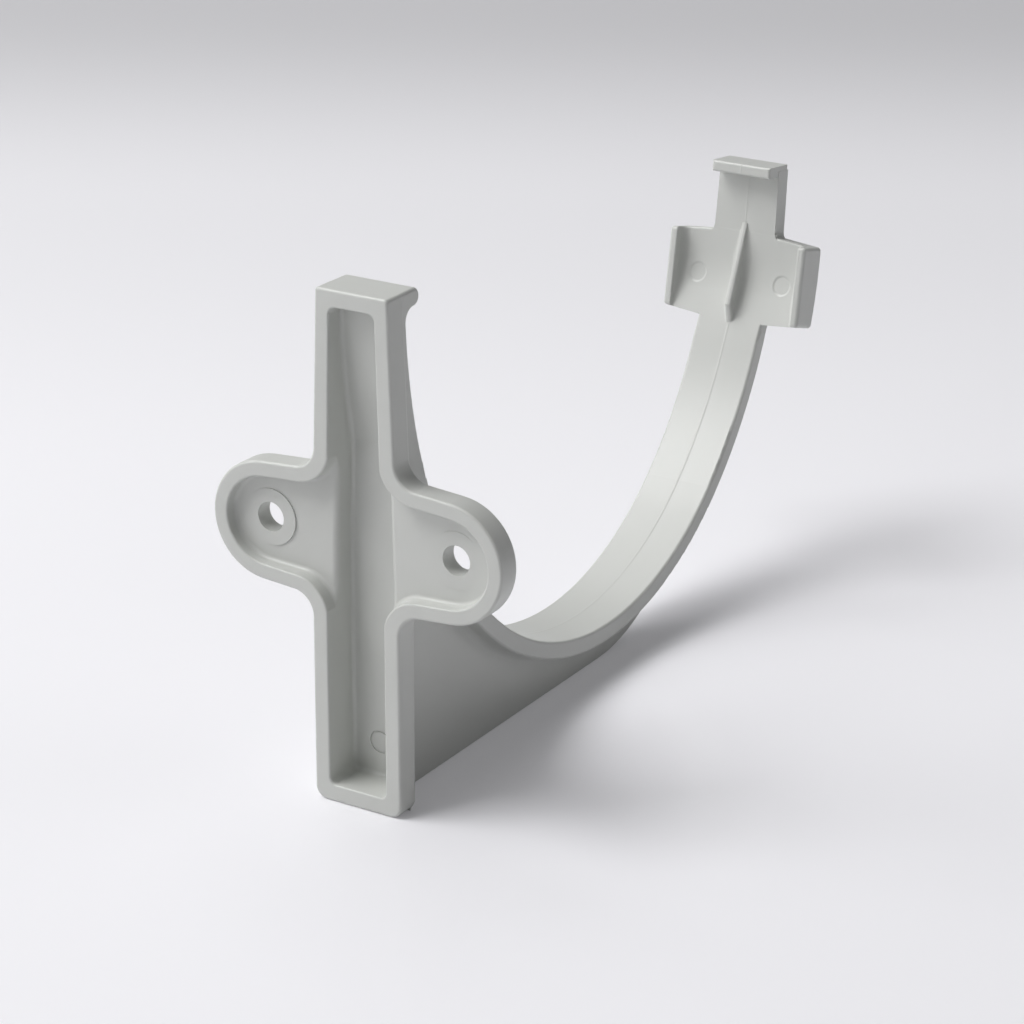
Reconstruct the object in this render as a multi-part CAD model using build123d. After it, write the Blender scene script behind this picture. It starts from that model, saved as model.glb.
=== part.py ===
from build123d import *
import os
from math import atan2, cos, degrees, radians, sin, sqrt, tan

os.makedirs("parts", exist_ok=True)

# Frame while building, in millimetres: X across the bracket, Y forwards from the fascia face
# of the plate (y = 0), Z up from its foot. The part is moved to its own frame at the end.

# Cross-shaped fascia plate, hollow at the back
plate_height = 89.8
plate_depth = 4.9
top_half_width = 6.9
neck_half_width = 8.0
hip_half_width = 8.5
foot_half_width = 8.6
ear_height = 47.75
hole_half_spacing = 18.15
ear_centre = 17.7
ear_radius = 10.45
ear_flare = 4.0
armpit_radius = 4.0
foot_corner_radius = 2.2
top_corner_radius = 0.6
rear_edge_radius = 0.5
front_edge_radius = 0.8

# Cutting shapes reach past what they cut, and joined shapes run into each other
ceiling = plate_height + 10.0
cut_half_width = 30.0
overlap = 1.0

# Hollow of the plate
rim_width = 2.7
cavity_top_half = 4.3
cavity_neck_half = 5.1
cavity_hip_half = 5.55
cavity_foot_half = 5.6
cavity_bottom = 3.1
cavity_top_rim = 2.9
cavity_top = plate_height - cavity_top_rim
cavity_top_corner = 1.3
cavity_foot_corner = 1.2
channel_depth = 7.0
channel_wall = 2.3
ear_recess_depth = 2.9
ear_recess_end_depth = 2.1
ear_recess_start = 3.0
ear_recess_end = 28.0
wall_draft = 2.0
inner_edge_radius = 0.35
recess_floor_radius = 0.7
recess_inset = 0.15
channel_floor_radius = 0.7
channel_brow_radius = 1.0

# Screw holes and their raised pads
hole_radius = 2.6
pad_radius = 4.95
pad_face = 2.3
seat_radius = 7.5
seat_face = 5.6
seat_edge_radius = 0.5
seat_overlap = 0.5

# Gutter saddle: tangent arcs from under the nose, down, forward and up to the clip. The second
# number of each point of the saddle and the clip is its drop below the top of the plate.
saddle_start = (5.73, 5.3)
saddle_heading = -87.2
saddle_radii = [93.2, 69.1, 56.6, 74.0]
saddle_angles = [29.8, 21.6, 77.7, 40.0]
strap_thickness = 3.35
strap_half_width = 6.85
strap_edge_radius = 0.5
strap_start_drop = 30.0
nose_tip_radius = 1.55
nose_throat_radius = 2.2
column_edge_radius = 0.6

# Spine over the channel and web under the strap
spine_depth = 9.2
spine_front_half = 5.3
spine_root_half = 7.9
spine_rise = 4.0
column_drop = 39.8
column_foot = plate_height - column_drop
column_rear = 1.5
column_reach = 20.0
column_reach_rise = 2.0
column_toe_drop = 10.0
column_toe_sink = 0.5
web_half_thickness = 3.0
web_drop = 30.0
web_top = plate_height - web_drop
web_toe = 74.6
web_toe_radius = 35.0
web_edge_radius = 0.7
web_root_radius = 1.0
spine_edge_radius = 1.0

# Clip at the front end of the strap
tab_lean = 6.3
tab_thickness = 3.9
tab_root_half = 6.5
tab_head_half = 6.1
tab_corner_radius = 1.3
tab_corner_sink = 0.25
lip_drop = 9.2
lip_height = 2.15
lip_overhang = 3.7
lip_half_width = 6.2
lip_edge_radius = 0.5
bead_centre = (123.4, 29.4)
bead_radius = 12.1
bead_foot = (126.5, 42.5)
bead_shoulder = (131.0, 38.8)
bead_inner = (124.0, 37.8)
tab_setback = 2.9
tab_sink = 0.3
tab_root_overlap = 2.0
tab_hollow_overlap = 0.5
wing_half_width = 14.6
wing_wall = 1.6
wing_growth = 1.4
wing_rear_top = (130.5, 23.0)
wing_rear_bottom = (128.0, 38.1)
wing_front_bottom = (134.4, 40.0)
wing_front_middle = (136.5, 32.6)
wing_front_top = (137.7, 24.7)
wing_edge_radius = 0.7
wing_lip_radius = 0.3
fin_half_thickness = 0.65
fin_edge_radius = 0.4
fin_side_points = [
    (133.5, 20.9),
    (127.1, 35.6),
    (128.4, 40.7),
    (130.3, 41.3),
    (132.4, 39.3),
    (136.2, 32.8),
    (136.2, 25.8),
    (134.4, 20.9),
]

# Marks of the ejector pins
pin_radius = 2.0
pin_mark_depth = 0.2
wing_pin_at = (9.1, 31.7)
foot_pin_radius = 2.1
foot_pin_height = 9.5
foot_pin_line = 0.4


def facing_front(y):
    """Plane at depth y whose normal points forwards, for shapes that are symmetric in X."""
    return Plane(origin=(0, y, 0), x_dir=(-1, 0, 0), z_dir=(0, 1, 0))


def prism(outline, y_from, y_to, draft=0.0):
    """Outline in X and Z made solid between two depths."""
    return extrude(facing_front(y_from) * outline, amount=y_to - y_from, taper=draft)


def slab(outline, half_width):
    """Outline in Y and Z made solid to both sides of the middle plane."""
    return extrude(Plane.YZ * outline, amount=half_width, both=True)


def rounded(points):
    """Edges of an open line through points (x, z, radius), its corners rounded."""
    edges = []
    start = Vector(*points[0][:2])
    for before, here, after in zip(points, points[1:], points[2:]):
        corner = Vector(*here[:2])
        if here[2] == 0:
            edges.append(Line(start, corner))
            start = corner
            continue
        back = (Vector(*before[:2]) - corner).normalized()
        onward = (Vector(*after[:2]) - corner).normalized()
        half_angle = radians(back.get_angle(onward)) / 2
        cut = here[2] / tan(half_angle)
        middle = corner + (back + onward).normalized() * (here[2] / sin(half_angle) - here[2])
        edges.append(Line(start, corner + back * cut))
        edges.append(ThreePointArc(corner + back * cut, middle, corner + onward * cut))
        start = corner + onward * cut
    edges.append(Line(start, Vector(*points[-1][:2])))
    return edges


def ear_root(radius, half_width):
    """Height above the ears' middle at which a flared ear meets the side of the trunk."""
    flare = radians(ear_flare)
    return radius * cos(flare) + (ear_centre + radius * sin(flare) - half_width) * tan(flare)


def mirrored(right):
    """Closed face from the edges of its right half."""
    return make_face(Wire(right + [edge.mirror(Plane.YZ) for edge in right]))


def cross(halves, bottom, top, radius, armpit, foot_corner, top_corner):
    """Cross-shaped outline of the plate or of its hollow, with rounded corners."""
    top_half, neck_half, hip_half, foot_half = halves
    flare = radians(ear_flare)
    tangent_x = ear_centre + radius * sin(flare)
    tangent_z = radius * cos(flare)
    neck_z = ear_root(radius, neck_half)
    hip_z = ear_root(radius, hip_half)
    upper = rounded(
        [
            (0, top, 0),
            (top_half, top, top_corner),
            (neck_half, ear_height + neck_z, armpit),
            (tangent_x, ear_height + tangent_z, 0),
        ]
    )
    end = ThreePointArc(
        (tangent_x, ear_height + tangent_z),
        (ear_centre + radius, ear_height),
        (tangent_x, ear_height - tangent_z),
    )
    lower = rounded(
        [
            (tangent_x, ear_height - tangent_z, 0),
            (hip_half, ear_height - hip_z, armpit),
            (foot_half, bottom, foot_corner),
            (0, bottom, 0),
        ]
    )
    return mirrored(upper + [end] + lower)


def hung(point):
    """Place in Y and Z of a point given by its depth and its drop below the plate's top."""
    return Vector(point[0], plate_height - point[1])


def saddle(offset=0.0):
    """Arcs of the saddle, moved outwards by an offset, with their first and last points."""
    edges = []
    y, z = saddle_start[0], plate_height - saddle_start[1]
    heading = radians(saddle_heading)
    first = (y + offset * sin(heading), z - offset * cos(heading))
    for radius, turn in zip(saddle_radii, saddle_angles):
        centre = (y - radius * sin(heading), z + radius * cos(heading))
        edges.append(CenterArc(centre, radius + offset, degrees(heading) - 90.0, turn))
        heading += radians(turn)
        y = centre[0] + radius * sin(heading)
        z = centre[1] - radius * cos(heading)
    last = (y + offset * sin(heading), z - offset * cos(heading))
    return edges, first, last


def in_front(offset):
    """Everything above and in front of the saddle moved outwards by an offset, in Y and Z."""
    arcs, first, last = saddle(offset)
    lid = [
        Line(last, (last[0], ceiling)),
        Line((last[0], ceiling), (first[0], ceiling)),
        Line((first[0], ceiling), first),
    ]
    return make_face(Wire(arcs + lid))


def wing_section(x, growth):
    """Side outline of the wings at x, made taller by a growth at both ends."""
    rear_top, rear_bottom, front_bottom, front_middle, front_top = (
        hung(point)
        for point in (
            wing_rear_top,
            wing_rear_bottom,
            wing_front_bottom,
            wing_front_middle,
            wing_front_top,
        )
    )
    up = (rear_top - rear_bottom).normalized() * growth
    outline = make_face(
        Wire(
            [
                Line(rear_top + up, rear_bottom - up),
                Line(rear_bottom - up, front_bottom - up),
                ThreePointArc(front_bottom - up, front_middle, front_top + up),
                Line(front_top + up, rear_top + up),
            ]
        )
    )
    return Plane(origin=(x, 0, 0), x_dir=(0, 1, 0), z_dir=(1, 0, 0)) * outline


# Plate: outline, then depth, then rounded edges
plate_outline = cross(
    (top_half_width, neck_half_width, hip_half_width, foot_half_width),
    0.0,
    plate_height,
    ear_radius,
    armpit_radius,
    foot_corner_radius,
    top_corner_radius,
)
plate = prism(plate_outline, 0.0, plate_depth)
plate = fillet(plate.edges().group_by(Axis.Y)[0], rear_edge_radius)
plate = fillet(plate.edges().group_by(Axis.Y)[-1], front_edge_radius)

# Room for the gutter: everything in front of the nose and above the saddle
inner_arcs, saddle_first, saddle_last = saddle()
nose_rise = plate_height - nose_tip_radius - saddle_first[1]
nose_run = sqrt((nose_throat_radius + nose_tip_radius) ** 2 - nose_rise**2)
throat_centre = (saddle_first[0] + nose_throat_radius, saddle_first[1])
tip_centre = (throat_centre[0] - nose_run, plate_height - nose_tip_radius)
nose_turn = degrees(atan2(nose_rise, nose_run))
room = make_face(
    Wire(
        inner_arcs
        + [
            Line(saddle_last, (saddle_last[0], ceiling)),
            Line((saddle_last[0], ceiling), (tip_centre[0], ceiling)),
            Line((tip_centre[0], ceiling), (tip_centre[0], plate_height)),
            CenterArc(tip_centre, nose_tip_radius, -nose_turn, 90.0 + nose_turn),
            CenterArc(throat_centre, nose_throat_radius, 180.0 - nose_turn, nose_turn),
        ]
    )
)
gutter_room = slab(room, cut_half_width)

# Upper column, up to the saddle and the nose
column_side = make_face(
    Polyline(
        (column_rear, plate_height),
        (column_rear, column_foot),
        (spine_depth - column_toe_sink, column_foot - column_toe_drop),
        (column_reach, column_foot + column_reach_rise),
        (column_reach, plate_height),
        close=True,
    )
)
column = slab(column_side, strap_half_width) - gutter_room
column_front = [
    e
    for e in column.edges()
    if abs(e.center().X) > 5.0 and e.center().Y > plate_depth and e.center().Z > column_foot + 3.0
]
column = fillet([e for e in column_front if e.center().Z < plate_height - 0.1], column_edge_radius)

# Spine closing the channel from the front
spine_plan = make_face(
    Polyline(
        (spine_root_half, plate_depth - overlap),
        (spine_front_half, spine_depth),
        (-spine_front_half, spine_depth),
        (-spine_root_half, plate_depth - overlap),
        close=True,
    )
)
spine = extrude(spine_plan, amount=column_foot + spine_rise)
spine = fillet(spine.edges().filter_by(Axis.Z).group_by(Axis.Y)[-1], spine_edge_radius)

# Strap, ending below the clip
outer_arcs, outer_first, outer_last = saddle(strap_thickness)
band = make_face(
    Wire(
        inner_arcs
        + outer_arcs
        + [Line(saddle_last, outer_last), Line(saddle_first, outer_first)]
    )
)
bead_side = Pos(hung(bead_centre)) * Circle(bead_radius)
ledge = Polyline(hung(bead_foot), hung(bead_shoulder), hung(bead_inner), close=True)
bead_side = bead_side + make_face(ledge)
bead_room = slab(bead_side, wing_half_width)
box_side = 6.0 * strap_half_width
nose_box = Pos(0, 0, plate_height) * Box(box_side, box_side, 2 * strap_start_drop)
clip_drop = wing_rear_top[1] + 3.0
clip_box = Pos(0, wing_rear_top[0], plate_height) * Box(box_side, box_side, 2 * clip_drop)
strap = slab(band, strap_half_width) - nose_box - clip_box
strap_sides = [e for e in strap.edges() if abs(e.center().X) > 5.0 and abs((e % 0.5).X) < 0.5]
strap = fillet([e for e in strap_sides if e.length > 5.0], strap_edge_radius)
strap = strap - bead_room

# Web under the strap, its front end swept up in an arc
web_end = web_toe + web_toe_radius
web_side = make_face(
    Wire(
        [
            Line((plate_depth - overlap, 0.0), (web_toe, 0.0)),
            CenterArc((web_toe, web_toe_radius), web_toe_radius, -90.0, 90.0),
            Line((web_end, web_toe_radius), (web_end, web_top)),
            Line((web_end, web_top), (plate_depth - overlap, web_top)),
            Line((plate_depth - overlap, web_top), (plate_depth - overlap, 0.0)),
        ]
    )
)
web = slab(web_side - in_front(strap_thickness / 2), web_half_thickness)
web_underside = [
    e
    for e in web.edges()
    if abs(e.center().X) > 2.0 and abs((e % 0.5).X) < 0.5 and e.length > 30.0 and e.center().Z < 8.0
]
web = fillet(web_underside, web_edge_radius)

# Clip: two wings with lips, hollowed for the gutter's bead
wing_block = loft([wing_section(0.0, wing_growth), wing_section(wing_half_width, 0.0)], ruled=True)
wing_block = wing_block + mirror(wing_block, about=Plane.YZ)
wing_edges = [e for e in wing_block.edges() if abs(e.center().X) > 2.0]
wing_block = fillet(wing_edges, wing_edge_radius)

# Tab above the wings, leaning forwards, with its inner corners rounded
lean_up = Vector(sin(radians(tab_lean)), cos(radians(tab_lean)))
lean_out = Vector(lean_up.Y, -lean_up.X)
tab_foot_drop = wing_rear_top[1] + tab_sink
tab_rear_foot = hung((wing_rear_top[0] + tab_setback, tab_foot_drop))
tab_rear_head = tab_rear_foot + lean_up * ((tab_foot_drop - lip_drop) / lean_up.Y)
tab_side = make_face(
    Polyline(
        tab_rear_foot - lean_up * tab_root_overlap,
        tab_rear_head - lean_up * overlap,
        tab_rear_head - lean_up * overlap + lean_out * tab_thickness,
        tab_rear_foot - lean_up * tab_root_overlap + lean_out * tab_thickness,
        close=True,
    )
)
corner_x = tab_root_half + tab_corner_radius
corner_z = plate_height - wing_rear_top[1] - tab_corner_sink
corner_z = corner_z + wing_growth * (1.0 - corner_x / wing_half_width)
tab_outline = make_face(
    Polyline(
        (tab_root_half, corner_z),
        (tab_head_half, plate_height),
        (-tab_head_half, plate_height),
        (-tab_root_half, corner_z),
        close=True,
    )
)
tab_base = Rectangle(2 * corner_x, 3 * tab_corner_radius, align=(Align.CENTER, Align.MAX))
tab_outline = tab_outline + Pos(0, corner_z + tab_corner_radius) * tab_base
for x in (-corner_x, corner_x):
    tab_outline = tab_outline - Pos(x, corner_z + tab_corner_radius) * Circle(tab_corner_radius)
wing_top_slope = hung(wing_front_top) - hung(wing_rear_top)
tab = extrude(
    facing_front(wing_rear_top[0]) * tab_outline,
    amount=2 * bead_radius,
    dir=(0, wing_top_slope.X, wing_top_slope.Y),
)
tab = tab & slab(tab_side, wing_half_width)

wing_inner_half = wing_half_width - wing_wall
hollow_side = bead_side + in_front(0.0)
hollow_side = hollow_side + make_face(
    Polyline(
        tab_rear_foot - lean_up * tab_hollow_overlap,
        tab_rear_head,
        tab_rear_head - lean_out * bead_radius / 2,
        tab_rear_foot - lean_up * tab_hollow_overlap - lean_out * bead_radius / 2,
        close=True,
    )
)
clip = wing_block + tab - slab(hollow_side, wing_inner_half)
wing_lips = [
    e
    for e in clip.edges()
    if abs(abs(e.center().X) - wing_inner_half) < 0.05
    and abs((e % 0.5).X) < 0.1
    and e.center().Y < wing_rear_top[0] - 0.3
]
clip = fillet(wing_lips, wing_lip_radius)

# Lip across the top of the tab, and the fin in the middle of the clip
lip_rear = tab_rear_head - lean_out * lip_overhang
lip_front = tab_rear_head + lean_out * tab_thickness
lip_side = make_face(
    Polyline(
        lip_rear,
        lip_rear - lean_up * lip_height,
        lip_front - lean_up * lip_height,
        lip_front,
        close=True,
    )
)
lip = slab(lip_side, lip_half_width)
lip_middle = (lip_rear.X + lip_front.X) / 2
lip = fillet([e for e in lip.edges() if abs(e.center().Y - lip_middle) > 1.5], lip_edge_radius)
fin_side = Polyline(*(hung(point) for point in fin_side_points), close=True)
fin = slab(make_face(fin_side), fin_half_thickness)
fin_sides = [e for e in fin.edges() if abs(e.center().X) > 0.5]
fin_crest = fin_side_points[0][0] - 2.0
fin_bottom = plate_height - fin_side_points[2][1] + 1.0
fin_rear = [e for e in fin_sides if e.center().Y < fin_crest and e.center().Z > fin_bottom]
fin = fillet(fin_rear, fin_edge_radius)

# Hollow of the plate: a shallow cross and a deep channel that follows the saddle
cavity_ear_radius = ear_radius - rim_width
recess_outline = cross(
    (
        cavity_top_half - recess_inset,
        cavity_neck_half - recess_inset,
        cavity_hip_half - recess_inset,
        cavity_foot_half - recess_inset,
    ),
    cavity_bottom + recess_inset,
    cavity_top - recess_inset,
    cavity_ear_radius,
    armpit_radius + rim_width,
    cavity_foot_corner,
    cavity_top_corner,
)
recess_plan = make_face(
    Polyline(
        (ear_recess_start, ear_recess_depth),
        (ear_recess_end, ear_recess_end_depth),
        (ear_recess_end, -overlap),
        (-ear_recess_end, -overlap),
        (-ear_recess_end, ear_recess_end_depth),
        (-ear_recess_start, ear_recess_depth),
        close=True,
    )
)
recess = prism(recess_outline, 0.0, ear_recess_depth + overlap, wall_draft)
recess = recess & extrude(recess_plan, amount=plate_height)
recess_floor = [e for e in recess.edges() if e.center().Y > 1.5 and abs((e % 0.5).Y) < 0.3]
recess_floor = [e for e in recess_floor if abs(abs(e.center().X) - ear_recess_start) > 0.01]
recess = fillet(recess_floor, recess_floor_radius)
channel_outline = mirrored(
    rounded(
        [
            (0, cavity_top, 0),
            (cavity_top_half, cavity_top, cavity_top_corner),
            (cavity_neck_half, ear_height + ear_root(cavity_ear_radius, cavity_neck_half), 0),
            (cavity_hip_half, ear_height - ear_root(cavity_ear_radius, cavity_hip_half), 0),
            (cavity_foot_half, cavity_bottom, cavity_foot_corner),
            (0, cavity_bottom, 0),
        ]
    )
)
channel = prism(channel_outline, 0.0, channel_depth, wall_draft)
channel = channel - slab(in_front(channel_wall), cut_half_width)
channel_floor = [e for e in channel.edges() if e.center().Y > 2.0 and abs((e % 0.5).Y) < 0.6]
channel = fillet(channel_floor, channel_floor_radius)
cavity = recess + channel
brows = [
    e
    for e in cavity.edges()
    if abs(e.center().Y - ear_recess_depth) < 0.2
    and abs(e.center().X) < neck_half_width
    and e.length > 15.0
]
cavity = fillet(brows, channel_brow_radius)

body = plate + column + spine + strap + web + clip + lip + fin
body = body - cavity

# Screw holes, each with a pad inside the hollow and a seat for the screw's head in front
for x in (-hole_half_spacing, hole_half_spacing):
    place = Pos(x, ear_height)
    seat = prism(place * Circle(seat_radius), plate_depth - seat_overlap, seat_face)
    seat = fillet(seat.edges().group_by(Axis.Y)[-1], seat_edge_radius)
    pad = prism(place * Circle(pad_radius), pad_face, plate_depth - seat_overlap)
    hole = prism(place * Circle(hole_radius), -overlap, seat_face + overlap)
    body = body + seat + pad - hole

# Rounded edges that only exist on the joined body
rim = body.faces().sort_by(Axis.Y)[0]
body = fillet(rim.inner_wires()[0].edges(), inner_edge_radius)
web_roots = [
    e
    for e in body.edges().filter_by(GeomType.CIRCLE)
    if abs(abs(e.center().X) - web_half_thickness) < 0.1
    and spine_depth + 3.0 < e.center().Y < web_end + 10.0
    and e.length > 5.0
    and e.radius > web_toe_radius + 1.0
]
body = fillet(web_roots, web_root_radius)

# Marks of the ejector pins on the wings and at the foot of the channel
pin_skin_side = Pos(hung(bead_centre)) * Circle(bead_radius + pin_mark_depth)
pin_skin = slab(pin_skin_side, wing_half_width)
for x in (-wing_pin_at[0], wing_pin_at[0]):
    place = Pos(x, plate_height - wing_pin_at[1])
    pin = prism(place * Circle(pin_radius), bead_centre[0], bead_centre[0] + 2 * bead_radius)
    body = body - (pin & pin_skin)
foot_pin = Circle(foot_pin_radius) - Circle(foot_pin_radius - foot_pin_line)
foot_pin = Pos(0, foot_pin_height) * foot_pin
body = body - prism(foot_pin, channel_depth - overlap, channel_depth + pin_mark_depth)

# The part's own frame: middle of the overall box, at the level of the foot
body = Pos(0, -body.bounding_box().center().Y, 0) * body
export_step(body, "parts/gutter_bracket.step")
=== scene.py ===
"""Studio picture of a light grey moulded gutter bracket that stands on a pale floor."""

from math import asin, cos, hypot, radians, sin, sqrt, tan

import bpy
from mathutils import Matrix, Vector


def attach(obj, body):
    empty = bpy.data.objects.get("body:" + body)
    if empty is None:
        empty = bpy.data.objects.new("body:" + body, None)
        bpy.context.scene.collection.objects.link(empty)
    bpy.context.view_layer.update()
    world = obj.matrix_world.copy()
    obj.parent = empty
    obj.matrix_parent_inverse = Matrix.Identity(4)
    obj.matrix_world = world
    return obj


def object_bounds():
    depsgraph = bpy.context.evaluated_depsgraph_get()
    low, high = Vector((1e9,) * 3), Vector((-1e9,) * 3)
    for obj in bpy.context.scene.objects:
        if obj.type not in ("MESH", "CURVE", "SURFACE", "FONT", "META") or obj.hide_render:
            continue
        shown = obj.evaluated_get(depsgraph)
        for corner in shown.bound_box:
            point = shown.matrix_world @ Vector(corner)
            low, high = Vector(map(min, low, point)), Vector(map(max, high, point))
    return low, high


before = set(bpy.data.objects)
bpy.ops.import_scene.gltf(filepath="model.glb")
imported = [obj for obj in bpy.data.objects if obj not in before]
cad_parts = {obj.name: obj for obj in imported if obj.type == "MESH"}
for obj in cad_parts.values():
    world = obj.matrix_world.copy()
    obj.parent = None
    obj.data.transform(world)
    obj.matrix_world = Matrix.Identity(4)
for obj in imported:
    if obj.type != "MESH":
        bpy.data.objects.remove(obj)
bounds_at_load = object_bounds()

MM = 0.001

# Plastic: its colour drifts a little, and its surface has shallow waves, a fine grain and the
# mould's parting line along the middle of everything in front of the plate
PLASTIC = (0.60, 0.61, 0.585)
PLASTIC_ROUGHNESS = 0.34
PLASTIC_SPECULAR = 0.5
DRIFT_SCALE = 45.0
DRIFT_DETAIL = 3.0
DRIFT_SHARE = 0.035
WAVE_SCALE = 160.0
WAVE_HEIGHT = 0.05 * MM
WAVE_STRENGTH = 0.25
GRAIN_SCALE = 2600.0
GRAIN_HEIGHT = 0.012 * MM
GRAIN_STRENGTH = 0.3
RELIEF_DETAIL = 2.0
SEAM_HALF = 0.25 * MM
SEAM_HEIGHT = 0.045 * MM
SEAM_START = -48.0 * MM
SEAM_FULL = -40.0 * MM

# Floor: painted shade by distance beyond the bracket along the camera's view, and painted light,
# a faint glow over it that grows far out, where the lamps no longer reach
FLOOR = (0.86, 0.855, 0.885)
FLOOR_SIZE = 8.0
FLOOR_ROUGHNESS = 0.12
FLOOR_SPECULAR = 0.06
FLOOR_PAINTED_SHADES = [(-0.0892, 0.97), (0.0808, 1.0), (0.3108, 0.93), (0.5608, 0.68)]
NEAR_PAINTED_LIGHT = 0.125
FAR_PAINTED_LIGHT = 0.3
FAR_PAINTED_LIGHT_FROM = 0.75
FAR_PAINTED_LIGHT_FULL = 2.4

# Floor of the clip, in millimetres in front of the fascia face and above the foot. It is the
# rear face of the tab continued down to the strap, with a bend between the two.
TAB_POINT = (133.4, 66.5)
TAB_TILT = radians(6.3)
STRAP_POINT = (126.37, 47.0)
STRAP_TILT = radians(27.8)
BEND_RADIUS = 20.0
STRAP_HALF = 6.84
STRAP_EDGE_RADIUS = 0.5
TAB_FOOT = 67.25
TAB_OVERLAP = 0.35
TAB_SINK = 0.14
CLIP_INNER_HALF = 13.05
WING_HALF = 14.6
WING_TOP_EDGE = 66.1
WING_GROWTH = 1.4
WING_TOP_ROUNDING = 0.35
WING_BOTTOM_INNER = 50.84
WING_BOTTOM_OUTER = 51.35

# Crests of the fin and the lips from the top down, and the fillets at their roots
FIN_CREST = [(133.5, 68.9), (127.1, 54.2), (128.4, 49.1)]
LIP_CREST = [(130.5, 66.8), (128.0, 51.7)]
FIN_HALF = 0.6
ROOT_RADIUS = 1.6
ROOT_SHARE = 0.7

# Ejector marks in the clip's floor
PIN_AT = (9.1, 58.1)
PIN_RADIUS = 1.9
PIN_DEPTH = 0.16
PIN_EDGE = 0.3

# Back of the clip's floor, which sinks into the wall of the solid's hollow
HOLLOW_CENTRE = (123.4, 60.4)
HOLLOW_RADIUS = 12.4
HOLLOW_LEDGE = [(131.3, 51.0), (126.8, 47.3)]
LEAST_THICKNESS = 0.6
BACK_SLOPE = 0.25
SKIN = 0.02
FLOOR_CELL = 0.16
FLOOR_ROWS = 110
SHARP_ANGLE = radians(40.0)

# Soft boxes: azimuth from straight behind the plate towards +X, elevation, and power in watts
BOXES = {
    "key": (-45.0, 55.0, 23.4),
    "left": (-90.0, 55.0, 8.4),
    "low left": (-60.0, 22.0, 8.3),
    "low middle": (-15.0, 22.0, 3.4),
    "left front": (-135.0, 55.0, 4.4),
    "right front": (120.0, 22.0, 3.2),
}
BOX_SIZE = 1.0
BOX_DISTANCE = 2.0
BOX_TARGET = (0.0, 0.0, 0.04)

# Surroundings: the level that lights the scene, and the level that is seen and mirrored
WORLD_COLOUR = (0.98, 0.985, 1.0, 1.0)
WORLD_LEVEL = 0.08
WORLD_SHOWN = 0.3

# Camera: place in metres, angles in degrees, and focal length in pixels of a square picture
CAMERA_AT = (0.273669, -0.464745, 0.239622)
CAMERA_AZIMUTH = 31.65
CAMERA_ELEVATION = 21.22
CAMERA_ROLL = 0.23
CAMERA_CLIP = (0.01, 20.0)
FOCAL_PIXELS = 3201.0
PICTURE_PIXELS = 1024.0
SENSOR = 36.0


def link(obj):
    bpy.context.scene.collection.objects.link(obj)
    return obj


def shade(colour, level):
    """Opaque colour made lighter or darker."""
    return tuple(level * channel for channel in colour) + (1.0,)


def add(tree, kind, inputs, **settings):
    """Node of a kind with its settings, each given input set to a value or linked to a socket."""
    made = tree.nodes.new("ShaderNode" + kind)
    for name, value in settings.items():
        setattr(made, name, value)
    for name, value in inputs.items():
        if isinstance(value, bpy.types.NodeSocket):
            tree.links.new(value, made.inputs[name])
        else:
            made.inputs[name].default_value = value
    return made


def new_material(name):
    """Material with an empty node tree."""
    material = bpy.data.materials.new(name)
    material.use_nodes = True
    material.node_tree.nodes.clear()
    return material, material.node_tree


def finish_material(tree, inputs):
    """Principled shader with its inputs, joined to the material's output."""
    shader = add(tree, "BsdfPrincipled", inputs)
    add(tree, "OutputMaterial", {"Surface": shader.outputs["BSDF"]})


def noise(tree, place, scale, detail):
    """Value of a noise pattern at a place."""
    return add(tree, "TexNoise", {"Vector": place, "Scale": scale, "Detail": detail}).outputs["Fac"]


def bump(tree, height, distance, strength, under=None):
    """Normal bent by a height pattern, on top of an earlier one."""
    inputs = {"Height": height, "Distance": distance, "Strength": strength}
    if under:
        inputs["Normal"] = under
    return add(tree, "Bump", inputs).outputs["Normal"]


def seam_height(tree, place):
    """Height of the parting line, a fine ridge on the middle plane that starts past the plate."""
    apart = add(tree, "SeparateXYZ", {"Vector": place}).outputs
    side = add(tree, "Math", {0: apart["X"]}, operation="ABSOLUTE")
    ridge_inputs = {"Value": side.outputs["Value"], "From Max": SEAM_HALF, "To Min": 1.0, "To Max": 0.0}
    ridge = add(tree, "MapRange", ridge_inputs)
    clear_inputs = {"Value": apart["Y"], "From Min": SEAM_START, "From Max": SEAM_FULL}
    clear = add(tree, "MapRange", clear_inputs)
    both = {0: ridge.outputs["Result"], 1: clear.outputs["Result"]}
    return add(tree, "Math", both, operation="MULTIPLY").outputs["Value"]


def plastic_material():
    """Matte moulded plastic."""
    material, tree = new_material("plastic")
    place = add(tree, "TexCoord", {}).outputs["Object"]
    tint_inputs = {
        "Fac": noise(tree, place, DRIFT_SCALE, DRIFT_DETAIL),
        "Color1": shade(PLASTIC, 1.0 - DRIFT_SHARE),
        "Color2": shade(PLASTIC, 1.0 + DRIFT_SHARE),
    }
    tint = add(tree, "MixRGB", tint_inputs)
    waves = noise(tree, place, WAVE_SCALE, RELIEF_DETAIL)
    grain = noise(tree, place, GRAIN_SCALE, RELIEF_DETAIL)
    normal = bump(tree, waves, WAVE_HEIGHT, WAVE_STRENGTH)
    normal = bump(tree, grain, GRAIN_HEIGHT, GRAIN_STRENGTH, normal)
    normal = bump(tree, seam_height(tree, place), SEAM_HEIGHT, 1.0, normal)
    shader_inputs = {
        "Base Color": tint.outputs["Color"],
        "Roughness": PLASTIC_ROUGHNESS,
        "Specular IOR Level": PLASTIC_SPECULAR,
        "Normal": normal,
    }
    finish_material(tree, shader_inputs)
    return material


def seen(tree):
    """1 for rays that show or mirror a surface, 0 for rays that gather its light."""
    path = add(tree, "LightPath", {}).outputs
    direct = {0: path["Is Camera Ray"], 1: path["Is Glossy Ray"]}
    shown = add(tree, "Math", direct, operation="ADD")
    all_rays = {0: shown.outputs["Value"], 1: path["Is Transmission Ray"]}
    return add(tree, "Math", all_rays, operation="ADD").outputs["Value"]


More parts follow.
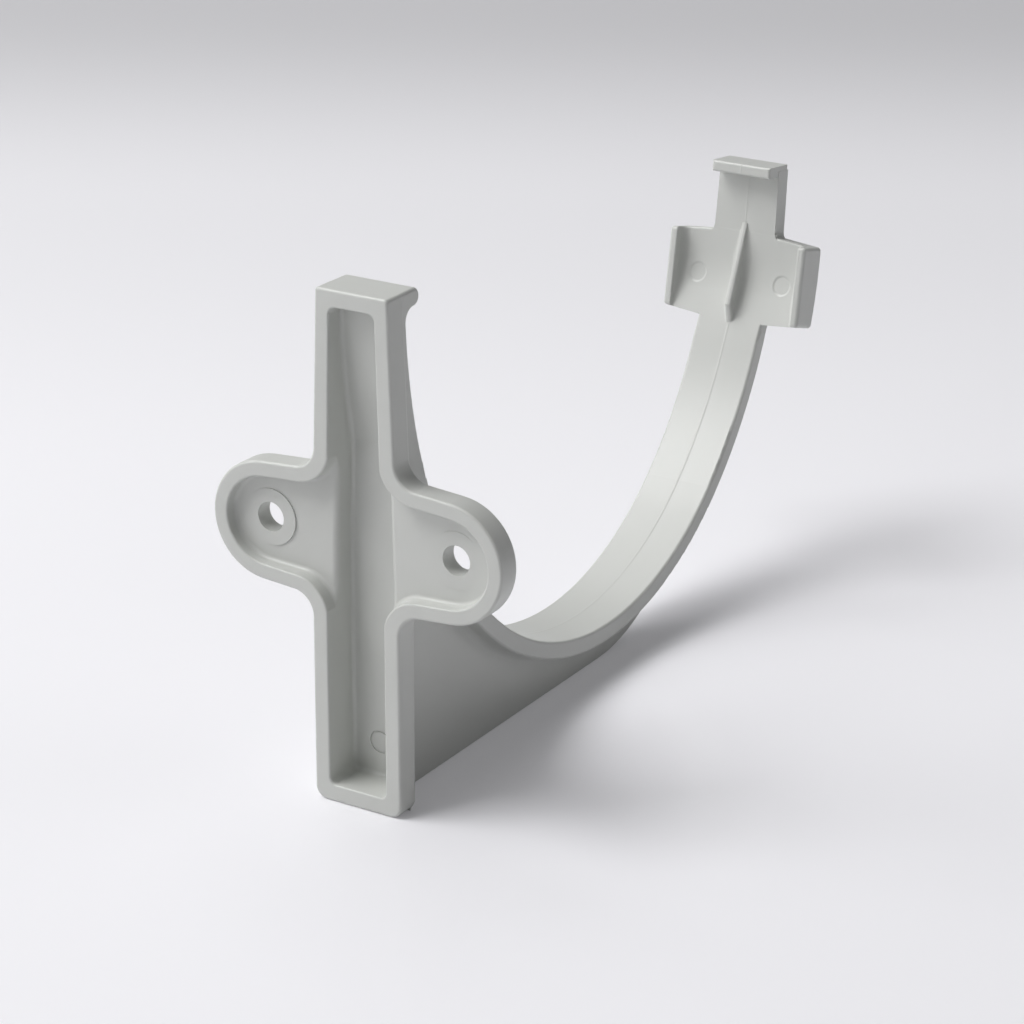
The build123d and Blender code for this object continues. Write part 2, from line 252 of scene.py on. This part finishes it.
def painted_floor_shade(tree, place):
    """Floor's colour by its distance beyond the bracket: painted shade, darkest far out."""
    azimuth = radians(CAMERA_AZIMUTH)
    onward = {0: place, 1: (-sin(azimuth), cos(azimuth), 0.0)}
    depth = add(tree, "VectorMath", onward, operation="DOT_PRODUCT").outputs["Value"]
    near, far = FLOOR_PAINTED_SHADES[0][0], FLOOR_PAINTED_SHADES[-1][0]
    span = add(tree, "MapRange", {"Value": depth, "From Min": near, "From Max": far})
    ramp = add(tree, "ValToRGB", {"Fac": span.outputs["Result"]})
    ramp.color_ramp.interpolation = "EASE"
    stops = ramp.color_ramp.elements
    for index, (distance, level) in enumerate(FLOOR_PAINTED_SHADES):
        place_on_ramp = (distance - near) / (far - near)
        if index >= 2:
            stops.new(place_on_ramp)
        stops[index].position = place_on_ramp
        stops[index].color = shade(FLOOR, level)
    return ramp.outputs["Color"]


def floor_material():
    """Pale floor with a faint gloss. Its painted shade and its painted light, a glow, are seen but
    light nothing.
    """
    material, tree = new_material("floor")
    place = add(tree, "NewGeometry", {}).outputs["Position"]
    # Painted shade of the floor, which the camera and mirrors see in place of its plain colour
    shown = painted_floor_shade(tree, place)
    seen_ray = seen(tree)
    # Painted light: a glow that the camera and mirrors see, fainter near the bracket and stronger far
    # out
    reach = add(tree, "VectorMath", {0: place}, operation="LENGTH").outputs["Value"]
    level_inputs = {
        "Value": reach,
        "From Min": FAR_PAINTED_LIGHT_FROM,
        "From Max": FAR_PAINTED_LIGHT_FULL,
        "To Min": NEAR_PAINTED_LIGHT,
        "To Max": FAR_PAINTED_LIGHT,
    }
    level = add(tree, "MapRange", level_inputs, interpolation_type="SMOOTHSTEP")
    painted_glow_inputs = {0: seen_ray, 1: level.outputs["Result"]}
    painted_glow = add(tree, "Math", painted_glow_inputs, operation="MULTIPLY")
    # Rays that gather light meet the plain floor colour, while seen rays meet the painted shade
    colour = add(tree, "MixRGB", {"Fac": seen_ray, "Color1": shade(FLOOR, 1.0), "Color2": shown})
    shader_inputs = {
        "Base Color": colour.outputs["Color"],
        "Roughness": FLOOR_ROUGHNESS,
        "Specular IOR Level": FLOOR_SPECULAR,
        "Emission Color": shown,
        "Emission Strength": painted_glow.outputs["Value"],
    }
    finish_material(tree, shader_inputs)
    return material


def bend():
    """Centre of the arc between strap and tab, and the heights where it starts and ends."""
    strap_slope, tab_slope = tan(STRAP_TILT), tan(TAB_TILT)
    strap_origin = STRAP_POINT[0] - strap_slope * STRAP_POINT[1]
    tab_origin = TAB_POINT[0] - tab_slope * TAB_POINT[1]
    corner_z = (tab_origin - strap_origin) / (strap_slope - tab_slope)
    corner_y = strap_origin + strap_slope * corner_z
    reach = BEND_RADIUS * tan((STRAP_TILT - TAB_TILT) / 2)
    start_y = corner_y - reach * sin(STRAP_TILT)
    start_z = corner_z - reach * cos(STRAP_TILT)
    centre = (start_y - BEND_RADIUS * cos(STRAP_TILT), start_z + BEND_RADIUS * sin(STRAP_TILT))
    return centre, start_z, corner_z + reach * cos(TAB_TILT)


def clip_line(z):
    """Depth and backward tilt of the clip's floor at a height."""
    centre, bend_start, bend_end = bend()
    if z < bend_start:
        return STRAP_POINT[0] + (z - STRAP_POINT[1]) * tan(STRAP_TILT), STRAP_TILT
    if z > bend_end:
        return TAB_POINT[0] + (z - TAB_POINT[1]) * tan(TAB_TILT), TAB_TILT
    tilt = asin((centre[1] - z) / BEND_RADIUS)
    return centre[0] + BEND_RADIUS * cos(tilt), tilt


def between(points, z):
    """Depth at a height on a line through points from the top down, held at its ends."""
    for (y_top, z_top), (y_low, z_low) in zip(points, points[1:]):
        if z >= z_low:
            share = min((z - z_low) / (z_top - z_low), 1.0)
            return y_low + (y_top - y_low) * share
    return points[-1][0]


def rounding(distance, radius):
    """Height of a rounded edge at a distance from it, nothing beyond its radius."""
    inside = min(max(radius - distance, 0.0), radius)
    return radius - sqrt(radius * radius - inside * inside)


def root_radius(crest, depth, z):
    """Fillet at the root of the fin or a lip, smaller where the crest stands out less."""
    return min(ROOT_RADIUS, ROOT_SHARE * max(depth - between(crest, z), 0.0))


def clip_relief(x, z, z_top, depth):
    """Height above the clip's plain floor: root fillets, ejector marks and rounded edges."""
    across = abs(x)
    height = SKIN
    height += rounding(across - FIN_HALF, root_radius(FIN_CREST, depth, z))
    height += rounding(CLIP_INNER_HALF - across, root_radius(LIP_CREST, depth, z))
    from_pin = hypot(across - PIN_AT[0], z - PIN_AT[1])
    sunk = min(max((PIN_RADIUS - from_pin) / PIN_EDGE, 0.0), 1.0)
    height -= PIN_DEPTH * sunk * sunk * (3.0 - 2.0 * sunk)
    if across > STRAP_HALF:
        return height - rounding(z_top - z, WING_TOP_ROUNDING)
    if not WING_BOTTOM_INNER < z < TAB_FOOT - TAB_OVERLAP:
        height -= rounding(STRAP_HALF - across, STRAP_EDGE_RADIUS)
    return height - TAB_SINK * max(z - TAB_FOOT, 0.0) / TAB_OVERLAP


def clip_floor_ends(x, on_wing):
    """Lowest and highest point of the clip's floor at a place across the bracket."""
    if not on_wing:
        return STRAP_POINT[1], TAB_FOOT + TAB_OVERLAP
    share = (abs(x) - STRAP_HALF) / (CLIP_INNER_HALF - STRAP_HALF)
    bottom = WING_BOTTOM_INNER + share * (WING_BOTTOM_OUTER - WING_BOTTOM_INNER)
    return bottom, WING_TOP_EDGE + WING_GROWTH * (1.0 - abs(x) / WING_HALF)


def behind(y, z):
    """Point at the back of the clip's floor, inside the wall of the solid's hollow."""
    room = HOLLOW_RADIUS**2 - (z - HOLLOW_CENTRE[1]) ** 2
    back_y = max(y + LEAST_THICKNESS, HOLLOW_CENTRE[0] + sqrt(max(room, 0.0)))
    if z < HOLLOW_LEDGE[0][1]:
        back_y = max(back_y, between(HOLLOW_LEDGE, z))
    return back_y, z - BACK_SLOPE * (back_y - y)


def slab_faces(columns, rows):
    """Faces of a closed slab from two grids of points, the front one first."""
    layer = (columns + 1) * (rows + 1)

    def at(column, row, back):
        return back * layer + column * (rows + 1) + row

    faces = []
    for column in range(columns):
        for row in range(rows):
            square = [(column, row), (column + 1, row), (column + 1, row + 1), (column, row + 1)]
            faces.append([at(*corner, 0) for corner in square])
            faces.append([at(*corner, 1) for corner in reversed(square)])
    border = [(column, 0) for column in range(columns)]
    border += [(columns, row) for row in range(rows)]
    border += [(column, rows) for column in range(columns, 0, -1)]
    border += [(0, row) for row in range(rows, 0, -1)]
    for here, there in zip(border, border[1:] + border[:1]):
        faces.append([at(*there, 0), at(*here, 0), at(*here, 1), at(*there, 1)])
    return faces


def clip_floor(name, x_from, x_to, on_wing):
    """Closed piece of the clip's floor between two places across the bracket."""
    columns = round((x_to - x_from) / FLOOR_CELL)
    front, back = [], []
    for column in range(columns + 1):
        x = x_from + (x_to - x_from) * column / columns
        z_bottom, z_top = clip_floor_ends(x, on_wing)
        for row in range(FLOOR_ROWS + 1):
            z = z_bottom + (z_top - z_bottom) * row / FLOOR_ROWS
            y, tilt = clip_line(z)
            height = clip_relief(x, z, z_top, y)
            front.append((x, y - height * cos(tilt), z + height * sin(tilt)))
            back.append((x, *behind(y, z)))
    fascia = bounds_at_load[0][1]
    points = [(x * MM, y * MM + fascia, z * MM) for x, y, z in front + back]
    mesh = bpy.data.meshes.new(name)
    mesh.from_pydata(points, [], slab_faces(columns, FLOOR_ROWS))
    mesh.shade_smooth()
    mesh.set_sharp_from_angle(angle=SHARP_ANGLE)
    mesh.materials.append(plastic)
    piece = link(bpy.data.objects.new(name, mesh))
    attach(piece, "root")


def make_floor():
    bpy.ops.mesh.primitive_plane_add(size=FLOOR_SIZE)
    floor = bpy.context.object
    floor.name = "floor"
    floor.data.materials.append(floor_material())


def soft_box(name, azimuth, elevation, watts):
    """Square soft light that faces the bracket."""
    data = bpy.data.lights.new(name, "AREA")
    data.shape = "SQUARE"
    data.size = BOX_SIZE
    data.energy = watts
    light = link(bpy.data.objects.new(name, data))
    around, up = radians(azimuth), radians(elevation)
    away = Vector((sin(around) * cos(up), -cos(around) * cos(up), sin(up)))
    light.location = Vector(BOX_TARGET) + BOX_DISTANCE * away
    light.rotation_euler = away.to_track_quat("Z", "Y").to_euler()


def make_camera():
    """Camera at the photograph's viewpoint, from the fitted angles."""
    azimuth, elevation = radians(CAMERA_AZIMUTH), radians(CAMERA_ELEVATION)
    right = Vector((cos(azimuth), sin(azimuth), 0.0))
    level = Vector((-sin(azimuth), cos(azimuth), 0.0))
    forward = level * cos(elevation) - Vector((0.0, 0.0, sin(elevation)))
    up = right.cross(forward)
    turn = Matrix((right, up, -forward)).transposed() @ Matrix.Rotation(radians(CAMERA_ROLL), 3, "Z")
    data = bpy.data.cameras.new("camera")
    data.sensor_width = SENSOR
    data.lens = FOCAL_PIXELS * SENSOR / PICTURE_PIXELS
    data.clip_start, data.clip_end = CAMERA_CLIP
    camera = link(bpy.data.objects.new("camera", data))
    camera.matrix_world = Matrix.Translation(CAMERA_AT) @ turn.to_4x4()
    bpy.context.scene.camera = camera


def make_world():
    """Faint even surroundings that are seen at a paler level than they light."""
    world = bpy.data.worlds.new("world")
    world.use_nodes = True
    tree = world.node_tree
    levels = {0: seen(tree), 1: WORLD_SHOWN - WORLD_LEVEL, 2: WORLD_LEVEL}
    strength = add(tree, "Math", levels, operation="MULTIPLY_ADD")
    background = tree.nodes["Background"]
    background.inputs["Color"].default_value = WORLD_COLOUR
    tree.links.new(strength.outputs["Value"], background.inputs["Strength"])
    bpy.context.scene.world = world


plastic = plastic_material()
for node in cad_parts.values():
    node.data.materials.clear()
    node.data.materials.append(plastic)
clip_floor("clip_floor_middle", -STRAP_HALF, STRAP_HALF, on_wing=False)
clip_floor("clip_floor_left", -CLIP_INNER_HALF, -STRAP_HALF, on_wing=True)
clip_floor("clip_floor_right", STRAP_HALF, CLIP_INNER_HALF, on_wing=True)

make_floor()
make_camera()
make_world()
for box, (box_azimuth, box_elevation, power) in BOXES.items():
    soft_box(box, box_azimuth, box_elevation, power)
bpy.context.scene.view_settings.view_transform = "Standard"
